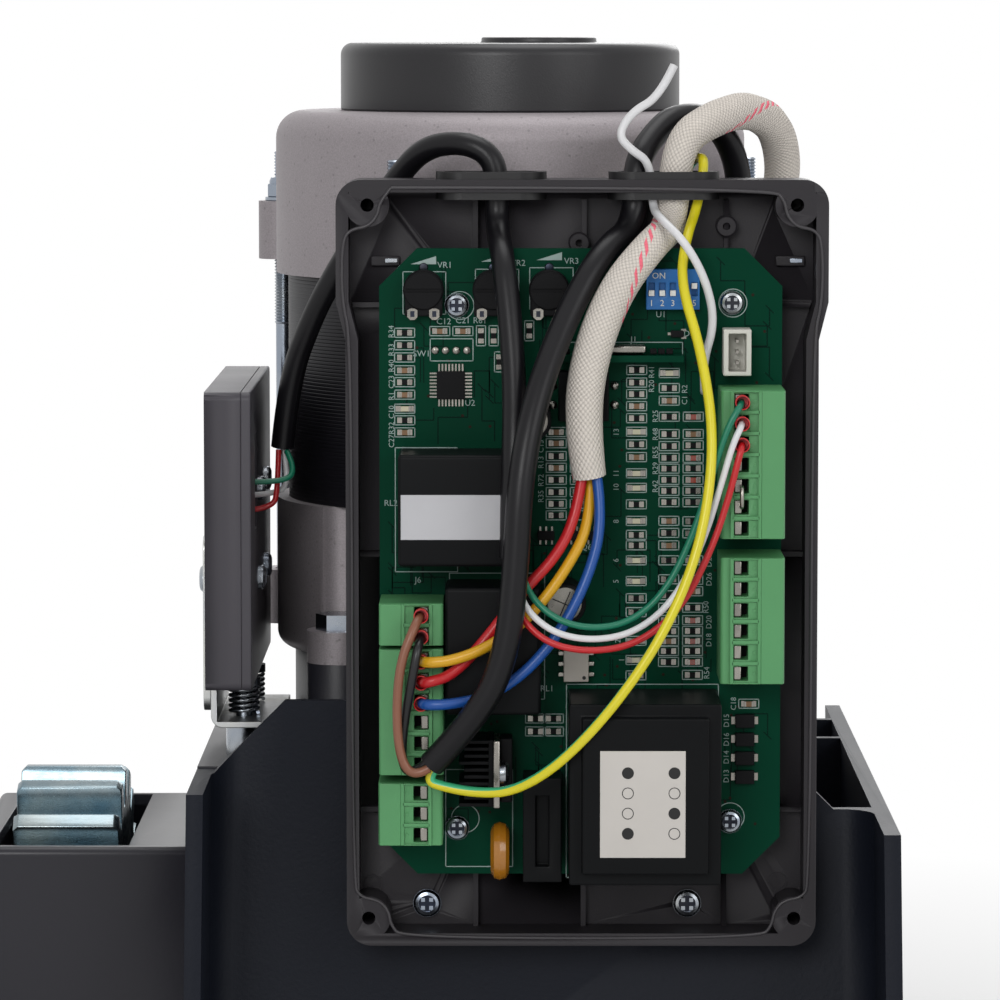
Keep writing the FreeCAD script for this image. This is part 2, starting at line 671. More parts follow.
def stator_windings():
    low = ring("z", d.motor_x, 0, d.stator_bottom - d.winding_height, d.winding_outer, d.winding_inner,
               d.winding_height)
    high = ring("z", d.motor_x, 0, d.stator_top, d.winding_outer, d.winding_inner, d.winding_height)
    return node(group(low, high), "stator_windings")


BEARING_BOSS = d.small_bearing_outer + 5


def stud_lugs(home, low, high):
    """Lugs for the through studs: a root on the bell's wall and a round end."""
    for radius, reach in ((d.lug_root, d.bell_radius), (d.lug_radius, d.stud_circle)):
        lugs = sketch(home, "XY_Plane", low)
        for angle in STUD_ANGLES:
            circle(lugs, *polar(reach, angle), radius)
        pad(home, lugs, high - low)


def stud_holes(home, top, depth):
    holes = sketch(home, "XY_Plane", top)
    for angle in STUD_ANGLES:
        circle(holes, *polar(d.stud_circle, angle), d.stud_radius + d.running_gap)
    pocket(home, holes, depth)


def upper_bell():
    home = body("upper_bell")
    inner = d.bell_radius - d.bell_wall
    ceiling = d.upper_bell_top - d.bell_end
    boss = ceiling - d.small_bearing_width - 4
    profile = sketch(home, "XZ_Plane")
    outline(profile, [(0, d.upper_bell_top), (d.bell_radius, d.upper_bell_top), (d.bell_radius, d.stator_top),
                      (inner, d.stator_top), (inner, ceiling), (BEARING_BOSS, ceiling), (BEARING_BOSS, boss),
                      (d.small_bearing_outer, boss), (d.small_bearing_outer, ceiling), (0, ceiling)])
    spin(home, profile)
    soften(home, d.bell_shoulder, lambda edge: hoop(edge, d.bell_radius, d.upper_bell_top))
    stud_lugs(home, d.upper_lug_bottom, d.upper_lug_top)
    lead = sketch(home, "YZ_Plane", d.outlet_root)
    pad(home, circle(lead, d.lead_boss_y, d.lead_boss_z, d.lead_boss_radius), d.lead_boss_end - d.outlet_root)
    earth = sketch(home, "XZ_Plane", d.outlet_root)
    pad(home, circle(earth, d.earth_boss_x, d.earth_boss_z, d.earth_boss_radius),
        d.earth_boss_end - d.outlet_root)
    stud_holes(home, d.upper_lug_top, d.upper_lug_top - d.stator_top)
    return node(home, "upper_bell", x=d.motor_x)


def lower_bell():
    home = body("lower_bell")
    inner = d.bell_radius - d.bell_wall
    floor = d.neck_top + d.bell_end
    profile = sketch(home, "XZ_Plane")
    outline(profile, [(d.rotor_shaft + d.shaft_clear, d.neck_top), (d.bell_radius, d.neck_top),
                      (d.bell_radius, d.stator_bottom), (inner, d.stator_bottom), (inner, floor),
                      (BEARING_BOSS, floor), (BEARING_BOSS, floor + d.small_bearing_width),
                      (d.small_bearing_outer, floor + d.small_bearing_width), (d.small_bearing_outer, floor),
                      (d.rotor_shaft + d.shaft_clear, floor)])
    spin(home, profile)
    soften(home, d.bell_shoulder / 2, lambda edge: hoop(edge, d.bell_radius, d.neck_top))
    stud_lugs(home, d.lower_lug_bottom, d.lower_lug_top)
    ears = sketch(home, "XY_Plane", d.neck_top)
    seats = sketch(home, "XY_Plane", d.neck_top + d.flange_lug_height)
    bolts = sketch(home, "XY_Plane", d.neck_top)
    for angle in FLANGE_ANGLES:
        x, y = polar(d.flange_circle, angle)
        circle(ears, x, y, d.flange_boss)
        circle(seats, x, y, d.flange_head_flats / 2 + 1.6)
        circle(bolts, x, y, d.flange_screw + d.running_gap)
    pad(home, ears, d.flange_lug_height)
    pocket(home, seats, d.stator_bottom - d.neck_top - d.flange_lug_height, upward=True)
    stud_holes(home, d.lower_lug_top, d.stud_depth)
    pocket(home, bolts, d.flange_lug_height, upward=True)
    return node(home, "lower_bell", x=d.motor_x)


def motor_studs():
    """Through studs, washers and lock nuts that clamp the two bells on the stator."""
    pieces = []
    bottom = d.lower_lug_top - d.stud_depth
    for angle in STUD_ANGLES:
        x, y = polar(d.stud_circle, angle)
        x = d.motor_x + x
        pieces.append(rod("z", x, y, bottom, d.stud_radius, d.stud_top - bottom))
        bore = d.stud_radius + d.running_gap
        pieces.append(ring("z", x, y, d.upper_lug_top, d.nut_flats / 2 + 0.8, bore, d.stud_washer))
        seat = d.upper_lug_top + d.stud_washer
        pieces.append(cut(hexagon("z", x, y, seat, d.nut_flats, d.nut_height),
                          rod("z", x, y, seat, bore, d.nut_height)))
    return node(group(*pieces), "motor_studs")


def gearbox_screws():
    """Hexagon screws of the motor flange and of the side cover."""
    pieces = cover_screw_heads()
    seat = d.neck_top + d.flange_lug_height
    for angle in FLANGE_ANGLES:
        x, y = polar(d.flange_circle, angle)
        shank = rod("z", d.motor_x + x, y, d.neck_top - d.flange_screw_depth, d.flange_screw,
                    seat - d.neck_top + d.flange_screw_depth)
        head = hexagon("z", d.motor_x + x, y, seat, d.flange_head_flats, d.flange_head)
        pieces.append(fuse(shank, head))
    return node(group(*pieces), "gearbox_screws")


def motor_cap():
    home = body("motor_cap")
    profile = sketch(home, "XZ_Plane")
    inner = d.cap_radius - d.cap_wall
    outline(profile, [(0, d.cap_top), (d.cap_radius, d.cap_top), (d.cap_radius, d.upper_bell_top),
                      (inner, d.upper_bell_top), (inner, d.cap_top - d.cap_wall),
                      (0, d.cap_top - d.cap_wall)])
    spin(home, profile)
    soften(home, d.cap_edge, lambda edge: hoop(edge, d.cap_radius, d.cap_top))
    disc = sketch(home, "XY_Plane", d.cap_top)
    pad(home, circle(disc, d.cap_disc_offset, 0, d.cap_disc_radius), d.cap_disc_height)
    return node(home, "motor_cap", x=d.motor_x)


# Limit switch

CASE_RIGHT = -d.switch_left + d.switch_depth
SWITCH_MIDDLE = d.switch_front + d.switch_length / 2
BRACKET_MIDDLE = d.bracket_front + d.bracket_length / 2
LID_SCREW_ROWS = (d.switch_front + d.lid_screw_inset, d.switch_front + d.switch_length - d.lid_screw_inset)
LID_SCREW_LEVELS = (d.lid_screw_low, d.lid_screw_high)


def switch_case():
    shell = box(-d.switch_left, d.switch_front, d.switch_bottom, d.switch_depth, d.switch_length,
                d.switch_height)
    soft = rounded(shell, d.switch_wall, lambda edge: along(edge, Vector(1, 0, 0)))
    hollow = box(-d.switch_left + d.switch_wall, d.switch_front + d.switch_wall,
                 d.switch_bottom + d.switch_wall,
                 d.switch_depth, d.switch_length - d.switch_wall * 2, d.switch_height - d.switch_wall * 2)
    screw = rod("x", -d.switch_left, BRACKET_MIDDLE, d.plate_screw_z, d.float_screw + d.running_gap,
                d.switch_wall)
    return node(cut(soft, hollow, screw), "switch_case")


def switch_lid():
    slab = box(CASE_RIGHT, d.switch_front, d.switch_bottom, d.switch_lid, d.switch_length, d.switch_height)
    soft = rounded(slab, d.switch_wall, lambda edge: along(edge, Vector(1, 0, 0)))
    window = box(CASE_RIGHT, d.switch_front + 20, d.lid_screw_high - 9, d.switch_lid, 10, 23)
    return node(cut(soft, window), "switch_lid")


def switch_screws():
    """Lid screw heads and the pan screw that holds the case on its plate."""
    heads = [rod("x", CASE_RIGHT + d.switch_lid, y, z, d.lid_head_radius, d.lid_head)
             for y in LID_SCREW_ROWS for z in LID_SCREW_LEVELS]
    pan = fuse(rod("x", -d.switch_left - d.plate_thick - d.plate_screw_proud, BRACKET_MIDDLE, d.plate_screw_z,
                   d.plate_screw_head, d.plate_screw_proud),
               rod("x", -d.switch_left - d.plate_thick, BRACKET_MIDDLE, d.plate_screw_z, d.float_screw,
                   d.plate_thick + d.switch_wall))
    return node(group(pan, *heads), "switch_screws")


def reed_sensor():
    """Board with the two reed capsules that the gate's magnets close."""
    wall = -d.switch_left + d.switch_wall
    middle_z = d.switch_bottom + d.switch_height - d.switch_wall - 12
    board = box(wall, SWITCH_MIDDLE - 30, middle_z - 6, d.reed_board, 60, 12)
    tubes = [rod("y", wall + d.reed_board + d.reed_radius, SWITCH_MIDDLE + offset - d.reed_length / 2,
                 middle_z,
                 d.reed_radius, d.reed_length) for offset in (-16, 16)]
    return node(group(board, *tubes), "reed_sensor")


def outer_plate():
    """Flat plate between the switch case and the foot."""
    slab = box(-d.switch_left - d.plate_thick, d.bracket_front, d.plate_bottom, d.plate_thick,
               d.bracket_length,
               d.plate_top - d.plate_bottom)
    hole = rod("x", -d.switch_left - d.plate_thick, BRACKET_MIDDLE, d.plate_screw_z,
               d.float_screw + d.running_gap, d.plate_thick)
    soft = rounded(slab, d.plate_thick * 2, lambda edge: along(edge, Vector(1, 0, 0)))
    return cut(soft, hole)


FLOAT_ROWS = (BRACKET_MIDDLE - d.float_spacing / 2, BRACKET_MIDDLE + d.float_spacing / 2)
FLOAT_SEAT = d.bracket_base + d.bracket_thick


def switch_bracket():
    """Outer plate and bent foot: a short leg on the plate and a sole that rides on two screws."""
    home = body("switch_foot")
    bend = sketch(home, "XZ_Plane", -(d.bracket_front + d.bracket_length))
    left = -d.switch_left
    outline(bend, [(left, d.bracket_base), (-d.bracket_right, d.bracket_base), (-d.bracket_right, FLOAT_SEAT),
                   (left + d.bracket_thick, FLOAT_SEAT), (left + d.bracket_thick, d.bracket_leg_top),
                   (left, d.bracket_leg_top)])
    pad(home, bend, d.bracket_length)
    soften(home, d.bracket_thick * 2, lambda edge: along(edge, Vector(0, 1, 0))
           and abs(middle(edge).x - left.value) < 0.01 and middle(edge).z < d.bracket_base.value + 0.1)
    holes = sketch(home, "XY_Plane", d.bracket_base)
    for y in FLOAT_ROWS:
        circle(holes, d.float_x, y, d.float_screw + d.running_gap)
    pocket(home, holes, d.bracket_thick * 4, both_ways=True)
    return node(group(outer_plate(), home), "switch_bracket")


def float_screws():
    """Two shoulder screws with their spacers on the deck."""
    pieces = []
    for y in FLOAT_ROWS:
        foot = rod("z", d.float_x, y, d.deck_top, d.spacer_radius, d.bracket_base - d.deck_top)
        shank = rod("z", d.float_x, y, d.deck_top, d.float_screw, FLOAT_SEAT + d.spring_height - d.deck_top)
        head = rod("z", d.float_x, y, FLOAT_SEAT + d.spring_height, d.float_head_radius, d.float_head)
        pieces.append(fuse(foot, shank, head))
    return node(group(*pieces), "float_screws")


def float_springs():
    """Helical springs between the sole and the screw heads."""
    springs = []
    rise = d.spring_height.value - d.spring_wire.value * 2.4
    for y in FLOAT_ROWS:
        helix = Part.makeHelix(rise / d.spring_turns.value, rise, d.spring_radius.value)
        wire = Part.Wire(helix)
        start = Vector(d.spring_radius.value, 0, 0)
        loop = Part.Wire(Part.makeCircle(d.spring_wire.value, start, Vector(0, 1, 0)))
        coil = wire.makePipeShell([loop], True, True)
        coil.translate(Vector(d.float_x.value, y.value, FLOAT_SEAT.value + d.spring_wire.value * 1.2))
        springs.append(coil)
    item = doc.addObject("Part::Feature", "float_springs")
    item.Shape = Part.Compound(springs)
    return node(item, "float_springs")


# Control tray

TRAY_BACK = -d.front_wall_face
TRAY_RIM = TRAY_BACK - d.tray_depth
BOARD_BACK = TRAY_BACK - d.tray_floor - d.board_gap
BOARD_FACE = BOARD_BACK - d.board_thick
BOARD_RIGHT = d.board_left + d.board_width
BOARD_TOP = d.board_bottom + d.board_height
TRAY_TOP = BOARD_TOP + d.tray_head_room
BOARD_SCREWS = [(d.board_left + 18.5, d.board_bottom + 11.2), (BOARD_RIGHT - 12, d.board_bottom + 12.9),
                (d.board_left + 18.5, BOARD_TOP - 13.5), (BOARD_RIGHT - 12, BOARD_TOP - 12.9)]
GROMMETS = (d.grommet_left, d.grommet_right)


def tray_outline(inset):
    """Stepped outline of the tray, wider above its shoulders."""
    low = d.tray_half_width - inset
    high = d.tray_top_half - inset
    right = [(low, d.tray_bottom + inset), (low, TRAY_TOP - d.tray_step_low),
             (high, TRAY_TOP - d.tray_step_high), (high, TRAY_TOP - inset)]
    return [(d.tray_x + x, z) for x, z in right] + [(d.tray_x - x, z) for x, z in reversed(right)]


def control_tray():
    home = body("control_tray")
    shell = sketch(home, "XZ_Plane", -TRAY_BACK)
    pad(home, outline(shell, tray_outline(0)), d.tray_depth)
    soften(home, d.tray_radius, lambda edge: along(edge, Vector(0, 1, 0)) and (
        middle(edge).z < d.tray_bottom.value + 1 or middle(edge).z > TRAY_TOP.value - 1))
    hollow = sketch(home, "XZ_Plane", -TRAY_RIM)
    pocket(home, outline(hollow, tray_outline(d.tray_wall)), d.tray_depth - d.tray_floor)
    ears = sketch(home, "XZ_Plane", -TRAY_BACK)
    holes = sketch(home, "XZ_Plane", -TRAY_RIM)
    for side in (-1, 1):
        for z in (d.ear_low, TRAY_TOP - d.ear_inset):
            circle(ears, d.tray_x + side * d.ear_x, z, d.ear_radius)
            circle(holes, d.tray_x + side * d.ear_x, z, d.ear_hole)
    pad(home, ears, d.tray_depth)
    pocket(home, holes, d.tray_depth - d.tray_floor)
    posts = sketch(home, "XZ_Plane", -TRAY_BACK + d.tray_floor)
    for x, z in BOARD_SCREWS:
        circle(posts, x, z, d.standoff)
    pad(home, posts, d.board_gap)
    for x in (d.tray_x - 26, d.tray_x, d.tray_x + 34):
        rib = sketch(home, "XZ_Plane", -TRAY_BACK + d.tray_floor)
        rectangle(rib, x, d.tray_bottom + d.tray_wall / 2, x + d.tray_rib,
                  TRAY_TOP - d.tray_wall - d.grommet_lip_thick - d.fit_gap)
        pad(home, rib, d.tray_rib_height)
    for z in (d.board_bottom + 14, d.board_bottom + 76, d.board_bottom + 136):
        rib = sketch(home, "XZ_Plane", -TRAY_BACK + d.tray_floor)
        rectangle(rib, d.tray_x - d.tray_half_width + d.tray_wall / 2, z,
                  d.tray_x + d.tray_half_width - d.tray_wall / 2, z + d.tray_rib)
        pad(home, rib, d.tray_rib_height)
    for x in GROMMETS:
        entry = sketch(home, "XY_Plane", TRAY_TOP)
        rectangle(entry, x - d.grommet_length / 2, d.grommet_y - d.grommet_width / 2,
                  x + d.grommet_length / 2, d.grommet_y + d.grommet_width / 2)
        pocket(home, entry, d.tray_wall * 2, both_ways=True)
    soften(home, d.grommet_width / 2 - 0.1, lambda edge: along(edge, UP)
           and abs(middle(edge).z - TRAY_TOP.value + d.tray_wall.value / 2) < 0.2
           and abs(edge.Length - d.tray_wall.value) < 0.1)
    screws = sketch(home, "XZ_Plane", -TRAY_BACK)
    for x in (d.tray_screw_left, d.tray_screw_right):
        circle(screws, x, d.tray_screw_z, d.tray_screw + d.running_gap)
    pocket(home, screws, d.tray_floor * 4, both_ways=True)
    return node(home, "control_tray")


def oval(x, z, length, width, height):
    """An upright slab with round ends, centred over a cable entry."""
    reach = length / 2 - width / 2
    slab = box(x - reach, d.grommet_y - width / 2, z, reach * 2, width, height)
    ends = [rod("z", x + side * reach, d.grommet_y, z, width / 2, height) for side in (-1, 1)]
    return fuse(slab, *ends)


def cable_grommets():
    """Rubber oval grommets with lips above and below the tray wall, and the bush of the mains cable."""
    pieces = []
    lip = d.grommet_lip * 2
    inset = d.fit_gap * 2
    low = TRAY_TOP - d.tray_wall - d.grommet_lip_thick
    for x in GROMMETS:
        body_part = oval(x, low, d.grommet_length - inset, d.grommet_width - inset,
                         d.tray_wall + d.grommet_lip_thick * 2)
        upper = oval(x, TRAY_TOP, d.grommet_length + lip, d.grommet_width + lip, d.grommet_lip_thick)
        lower = oval(x, low, d.grommet_length + lip, d.grommet_width + lip, d.grommet_lip_thick)
        skin = d.grommet_skin * 2
        hollow = oval(x, low, d.grommet_length - skin, d.grommet_width - skin,
                      d.tray_wall + d.grommet_lip_thick * 2)
        pieces.append(cut(fuse(body_part, upper, lower), hollow))
    bush = ring("z", d.bush_x, d.bush_y, d.deck_top, d.bush_radius, d.mains_radius + d.running_gap * 2,
                d.bush_height)
    return node(group(bush, *pieces), "cable_grommets")


def tray_screws():
    """Pan screws of the tray and of the circuit board."""
    pieces = [rod("y", x, BOARD_FACE - d.pan_head, z, d.board_head, d.pan_head) for x, z in BOARD_SCREWS]
    face = TRAY_BACK - d.tray_floor
    for x in (d.tray_screw_left, d.tray_screw_right):
        head = rod("y", x, face - d.pan_head, d.tray_screw_z, d.tray_screw_head, d.pan_head)
        shank = rod("y", x, face, d.tray_screw_z, d.tray_screw - d.running_gap, d.tray_floor + d.front_wall)
        pieces.append(fuse(head, shank))
    return node(group(*pieces), "tray_screws")


# Circuit board and its components

def circuit_board():
    home = body("circuit_board")
    face = sketch(home, "XZ_Plane", -BOARD_BACK)
    bevel = d.board_chamfer
    outline(face, [(d.board_left + bevel, d.board_bottom), (BOARD_RIGHT - bevel, d.board_bottom),
                   (BOARD_RIGHT, d.board_bottom + bevel), (BOARD_RIGHT, BOARD_TOP - bevel),
                   (BOARD_RIGHT - bevel, BOARD_TOP), (d.board_left + bevel, BOARD_TOP),
                   (d.board_left, BOARD_TOP - bevel), (d.board_left, d.board_bottom + bevel)])
    for x, z in BOARD_SCREWS:
        circle(face, x, z, d.board_screw)
    pad(home, face, d.board_thick)
    return node(home, "circuit_board")


def on_board(left, low, width, height, tall):
    """A component box standing on the board's face, given by its outline there."""
    return box(d.board_left + left, BOARD_FACE - tall, d.board_bottom + low, width, tall, height)


SINK_FINS = 4

# Terminal blocks: low corner on the board, number of ways, and the wire entries' distance from the left side
TERMINALS = [(0.1, 10, 3, d.entry_left), (0.3, 26.8, 6, d.entry_left), (0.3, 57.6, 2, d.entry_left),
             (80.7, 48.5, 6, d.entry_right), (80.7, 82.9, 7, d.entry_right)]


def terminal_block(left, low, ways):
    block = on_board(left, low, d.terminal_deep, d.terminal_pitch * ways, d.terminal_tall)
    soft = rounded(block, d.clamp_wall * 2, lambda edge: along(edge, UP)
                   and middle(edge).y < BOARD_FACE.value - 1)
    return soft


def wire_holes(left, low, ways, entry):
    """The square wire entries of one block, as boxes."""
    side = d.wire_hole
    start = (d.terminal_pitch - side) / 2
    return [box(d.board_left + left + entry - side / 2, BOARD_FACE - d.terminal_tall,
                d.board_bottom + low + start + d.terminal_pitch * i, side, d.hole_depth, side)
            for i in range(round(ways))]


def terminal_blocks():
    blocks = [cut(terminal_block(left, low, ways), *wire_holes(left, low, ways, entry))
              for left, low, ways, entry in TERMINALS]
    return node(group(*blocks), "terminal_blocks")


def transformer():
    low = on_board(45.1, 2, 35.7, 42.9, d.transformer_tall - d.transformer_step)
    crown = on_board(48.1, 5, 29.7, 36.9, d.transformer_tall)
    return node(fuse(low, crown), "transformer")


def relays():
    upper = on_board(4.8, 76.3, 31.1, 26.4, d.relay_tall)
    lower = on_board(15.9, 41.1, 22.6, 30.2, d.relay_tall)
    soft = [rounded(item, d.clamp_wall * 2, lambda edge: middle(edge).y < BOARD_FACE.value - 1)
            for item in (upper, lower)]
    return node(group(*soft), "relays")


def fuse_holder():
    block = on_board(34.3, 0.2, 9.2, 25, d.fuse_tall)
    slot = box(d.board_left + 37.3, BOARD_FACE - d.fuse_tall, d.board_bottom + 4, 3.2, 3, 17)
    return node(cut(block, slot), "fuse_holder")


def varistor():
    disc = rod("x", d.board_left + 26.5, BOARD_FACE - d.varistor_radius - 2, d.board_bottom + 7,
               d.varistor_radius, d.varistor_thick)
    legs = [box(d.board_left + 28.3, BOARD_FACE - 3, d.board_bottom + 3.5 + 6 * i, 0.8, 3, 0.8)
            for i in (0, 1)]
    return node(fuse(disc, *legs), "varistor")


def semiconductors():
    """Power transistor bolted edge-on to its finned heat sink, the controller chip and an optocoupler."""
    low = 18.6
    width = 16
    left = 19.1
    foot = left + d.sink_depth
    plate = on_board(foot - d.sink_plate, low, d.sink_plate, width, d.sink_tall)
    fins = [on_board(left, low + d.fin_pitch * i, d.sink_depth, d.sink_plate, d.sink_tall)
            for i in range(SINK_FINS)]
    tab = on_board(foot, low, d.tab_thick, width, d.tab_tall)
    case = on_board(foot + d.tab_thick, low, d.case_thick, width, d.case_tall)
    controller = on_board(16, 114.4, 7, 7, 1.6)
    coupler = on_board(43.9, 46.8, 6.2, 8.4, 3.4)
    return node(group(fuse(plate, *fins), fuse(tab, case), controller, coupler), "semiconductors")


def capacitors():
    cans = [rod("y", d.board_left + x, BOARD_FACE - d.capacitor_tall, d.board_bottom + z, d.capacitor_radius,
                d.capacitor_tall) for x, z in ((44.2, 67), (36, 110.5))]
    return node(group(*[rounded(can, d.clamp_wall, lambda edge: middle(edge).y < BOARD_FACE.value - 1)
                        for can in cans]), "capacitors")


def receiver_board():
    return node(on_board(41.3, 123.8, 31, 1.6, d.receiver_tall), "receiver_board")


def sensor_connector():
    block = on_board(81.7, 120.6, 6.6, 11, d.connector_tall)
    hollow = box(d.board_left + 82.9, BOARD_FACE - d.connector_tall, d.board_bottom + 121.6, 4.2, 7, 9)
    return node(cut(block, hollow), "sensor_connector")


TRIMMER_X = (10.6, 27.1, 40.5)
TRIMMER_Z = 140.6


def trimmer_bases():
    side = d.trimmer_radius * 2 + 1
    bases = [on_board(Size.of(x) - side / 2, Size.of(TRIMMER_Z) - side / 2, side, side, d.trimmer_base)
             for x in TRIMMER_X]
    return node(group(*bases), "trimmer_bases")


def trimmer_rotor(number):
    x = d.board_left + TRIMMER_X[number - 1]
    z = d.board_bottom + TRIMMER_Z
    face = BOARD_FACE - d.trimmer_base
    disc = rod("y", x, face - d.trimmer_rotor, z, d.trimmer_radius, d.trimmer_rotor)
    groove = box(x - d.trimmer_radius, face - d.trimmer_rotor, z - d.trimmer_slot / 2, d.trimmer_radius * 2,
                 d.trimmer_rotor / 2, d.trimmer_slot)
    return node(cut(disc, groove), "trimmer_rotor_%d" % number)


DIP_WAYS = 5
DIP_LEFT = 63.5
DIP_LOW = 136
DIP_RISE = 9.6
RAISED_WAY = 5


def slider_box(number, play, rise):
    """One slider, or with play and rise the slot that it runs in."""
    x = d.board_left + DIP_LEFT + d.dip_pitch * number - d.dip_pitch / 2 - d.slider_width / 2
    z = d.board_bottom + DIP_LOW + DIP_RISE / 2 - d.slider_width / 2 - d.slider_travel / 2
    return box(x - play, BOARD_FACE - d.dip_height, z - play, d.slider_width + play * 2, d.slider_sink + play,
               d.slider_width + rise + play * 2)


def dip_switch():
    block = on_board(DIP_LEFT, DIP_LOW, d.dip_pitch * DIP_WAYS, DIP_RISE, d.dip_height)
    slots = [slider_box(i, d.slider_gap, d.slider_travel) for i in range(1, DIP_WAYS + 1)]
    return node(cut(block, *slots), "dip_switch")


def dip_slider(number):
    x = d.board_left + DIP_LEFT + d.dip_pitch * number - d.dip_pitch / 2 - d.slider_width / 2
    z = d.board_bottom + DIP_LOW + DIP_RISE / 2 - d.slider_width / 2 - d.slider_travel / 2
    if number == RAISED_WAY:
        z = z + d.slider_travel
    nub = box(x, BOARD_FACE - d.dip_height - d.slider_proud, z, d.slider_width,
              d.slider_sink + d.slider_proud, d.slider_width)
    return node(nub, "dip_slider_%d" % number)


BUTTON_X = 48.7
BUTTON_Z = 115.4


def learn_switch():
    half = d.button_body / 2
    block = on_board(BUTTON_X - half, BUTTON_Z - half, d.button_body, d.button_body, d.button_tall)
    bore = rod("y", d.board_left + BUTTON_X, BOARD_FACE - d.button_tall, d.board_bottom + BUTTON_Z,
               d.button_radius + d.running_gap, d.button_tall - 1)
    return node(cut(block, bore), "learn_switch")


def learn_button():
    face = BOARD_FACE - d.button_tall - d.button_proud
    return node(rod("y", d.board_left + BUTTON_X, face, d.board_bottom + BUTTON_Z, d.button_radius,
                    d.button_proud + d.button_tall - 1 - d.button_travel * 1.5), "learn_button")


# Cables and wires: routes chosen by hand, each a list of points from one held end to the other

MAINS_ROUTE = [(38, -62, 120), (38, -62, 152), (39.5, -60.5, 190), (44, -57, 226), (46.5, -57, 254),
               (41, -61, 271), (32, -68.5, 277.5), (24.5, -78, 277), (21.8, -84, 269.5),
               (21.8, -84, 251.5), (15, -95.8, 246.4), (6.5, -102.8, 231), (-1, -112.5, 214),
               (-5.5, -118.2, 195), (-6.5, -118.6, 174), (-8.5, -118.4, 154), (-14.5, -117, 140),
               (-25, -113.2, 127.8)]
LIMIT_ROUTE = [(-63.7, -55, 196.5), (-62, -57, 213), (-56, -62.5, 231), (-49.5, -67.6, 247),
               (-43.5, -70.6, 260.5), (-35.5, -75, 270.5), (-24.5, -80, 275.5), (-14.5, -83.2, 273),
               (-11, -84, 266), (-11, -84, 251.5), (-9.6, -96.4, 245), (-8, -101, 232), (-6.8, -105, 216),
               (-7, -110.6, 200), (-7.4, -110.8, 187), (-7.5, -110.6, 175)]
SLEEVE_ROUTE = [(46, -42, 252), (55.2, -42, 252), (60, -48, 262), (57.4, -57.5, 276), (49, -68.5, 285.5),
                (38.5, -78.5, 285.5), (31.4, -83.8, 276.5), (30.6, -84, 251.5), (25.6, -96, 248.2),
                (18.5, -99.6, 235.5), (13.4, -103.4, 221), (10.2, -104.4, 206), (10.8, -103, 193.5)]
ANTENNA_ROUTE = [(32, -85.4, 290.6), (27.5, -87, 284), (22.8, -88.2, 278), (25.4, -87, 269),
                 (25.9, -86.2, 256.2), (27.6, -95.6, 254), (33, -100, 249), (38.6, -98, 239.5),
                 (41.4, -95, 228), (40.4, -94, 218.5), (38.3, -91.4, 213), (38.3, -87.4, 212.6)]
EARTH_ROUTE = [(30, -51, 248), (30, -57, 248), (33, -62, 256), (35.8, -69, 264.5), (37, -77, 269.4),
               (36.3, -84, 267.5), (36.1, -84.2, 257), (35.2, -92, 249.5), (34.8, -97, 239),
               (37.5, -105, 223), (40, -113, 203), (37, -118, 180), (29, -121.5, 157), (16, -122.8, 136),
               (1, -119.6, 121.5), (-11, -114.8, 118.4), (-20.5, -111.9, 118.4), (-25.6, -111.6, 122),
               (-24.3, -112.1, 126.6)]
BROWN_ROUTE = [(-25.5, -114.6, 127.2), (-28.6, -114.8, 123.4), (-32.4, -114.8, 125), (-34.6, -114.4, 137),
               (-33.8, -114.4, 150.5), (-29.9, -113.4, 160), (-28.8, -107.8, 161.3), (-28.8, -102, 161.3)]
BLACK_ROUTE = [(-26.2, -112.1, 128.1), (-30.6, -110.8, 123), (-34.8, -110.4, 125), (-36.2, -110.4, 135.6),
               (-35.2, -111.2, 146), (-30.4, -112, 154.9), (-28.8, -107.8, 156.3), (-28.8, -102, 156.3)]
RED_ROUTE = [(9, -103.4, 192.9), (7.6, -104.6, 184), (3, -107.6, 175), (-5, -109.2, 167),
             (-13, -109.6, 156.4), (-21, -111, 147.4), (-27.9, -113, 145.6), (-28.8, -107.6, 145.5),
             (-28.8, -102, 145.5)]
YELLOW_ROUTE = [(11, -101, 193.1), (11.3, -104, 183), (5.4, -107.8, 172), (-3, -109.5, 161),
                (-12.5, -113.2, 154.4), (-21.5, -113.8, 151), (-28, -113.2, 150.5),
                (-28.8, -107.6, 150.5), (-28.8, -102, 150.5)]
BLUE_ROUTE = [(12.6, -103.8, 193.1), (14, -105.4, 183), (10.4, -107.8, 169.6), (3.6, -109.6, 156.8),
              (-4.4, -110, 147.6), (-13, -110.8, 142.2), (-21.5, -113.2, 140.7), (-28, -113, 140.5),
              (-28.8, -107.6, 140.5), (-28.8, -102, 140.5)]
GREEN_SIGNAL = [(-6.1, -109.8, 174.7), (-4.6, -111.2, 168), (1.5, -114.2, 161.5), (10, -115, 158.7),
                (20, -114.4, 160), (28.4, -113, 167), (34.8, -112.2, 180), (39.2, -111.8, 194),
                (43, -112.2, 206), (46.1, -111.8, 211.2), (46.5, -107.4, 211.6), (46.5, -103, 211.6)]
WHITE_SIGNAL = [(-7.6, -112, 174.7), (-6.2, -113.4, 166), (0.4, -115.4, 158.6), (10, -116, 156),
                (21, -115.4, 157.6), (30.4, -113.8, 165), (37.2, -112.6, 178.4), (41.4, -112, 192),
                (44.2, -112.3, 202), (46.3, -111.8, 206.3), (46.5, -107.4, 206.6), (46.5, -103, 206.6)]
RED_SIGNAL = [(-8.9, -109.9, 174.7), (-8, -112.4, 165), (-0.8, -115.9, 156), (10, -116.8, 153.4),
              (22, -116, 155.2), (32.4, -114.2, 163.6), (39.4, -112.8, 177.4), (43.2, -112.2, 189),
              (45.4, -112.3, 197.8), (46.4, -111.8, 201.4), (46.5, -107.4, 201.6), (46.5, -103, 201.6)]
